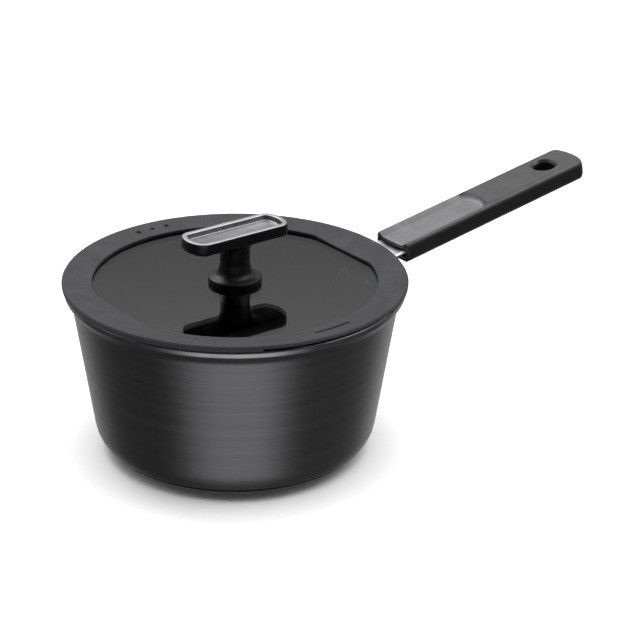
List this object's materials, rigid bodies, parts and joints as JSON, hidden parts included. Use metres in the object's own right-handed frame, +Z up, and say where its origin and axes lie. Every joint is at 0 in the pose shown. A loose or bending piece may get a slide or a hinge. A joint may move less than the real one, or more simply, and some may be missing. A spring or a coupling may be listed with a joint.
{
  "type": "saucepan with glass lid",
  "caption": "Straight long-handled saucepan in dark hard-anodised aluminium with a flat glass lid in a thick silicone rim and a T-shaped knob.",
  "frame": {"origin": "middle of the pan's underside, on the pan's axis", "axes": "+Z up along the pan's axis; +X from the pan towards the end of the handle; the lid pours on the -Y side"},
  "size_m": [0.3573, 0.1946, 0.1302],
  "materials": {
    "hard_anodised_aluminium": "turned and hard anodised, dark graphite, satin",
    "disc_steel": "turned, satin",
    "bracket_steel": "polished",
    "rivet_aluminium": "satin",
    "grip_plastic": "glass-filled, fine moulded grain",
    "screw_steel": "bright zinc",
    "tempered_glass": "clear, polished",
    "rim_silicone": "matt moulded silicone",
    "knob_plastic": "fine moulded grain",
    "plate_metal": "bead blasted, satin",
    "insert_brass": "machined",
    "seal_silicone": "matt moulded silicone"
  },
  "bodies": {
    "pan": {"pan_shell": "hard_anodised_aluminium", "base_disc": "disc_steel", "handle_bracket": "bracket_steel", "bracket_rivets": "rivet_aluminium", "handle_grip": "grip_plastic", "grip_screw": "screw_steel"},
    "lid": {"lid_glass": "tempered_glass", "lid_rim": "rim_silicone", "knob_body": "knob_plastic", "knob_plate": "plate_metal", "knob_insert": "insert_brass", "knob_screw": "screw_steel", "knob_washer": "screw_steel", "knob_seal_upper": "seal_silicone", "knob_seal_lower": "seal_silicone"}
  },
  "joints": [
    {"name": "lid_lift", "type": "slide", "parent": "pan", "child": "lid", "axis": [0, 0, 1], "range_m": [0, 0.15]}
  ]
}
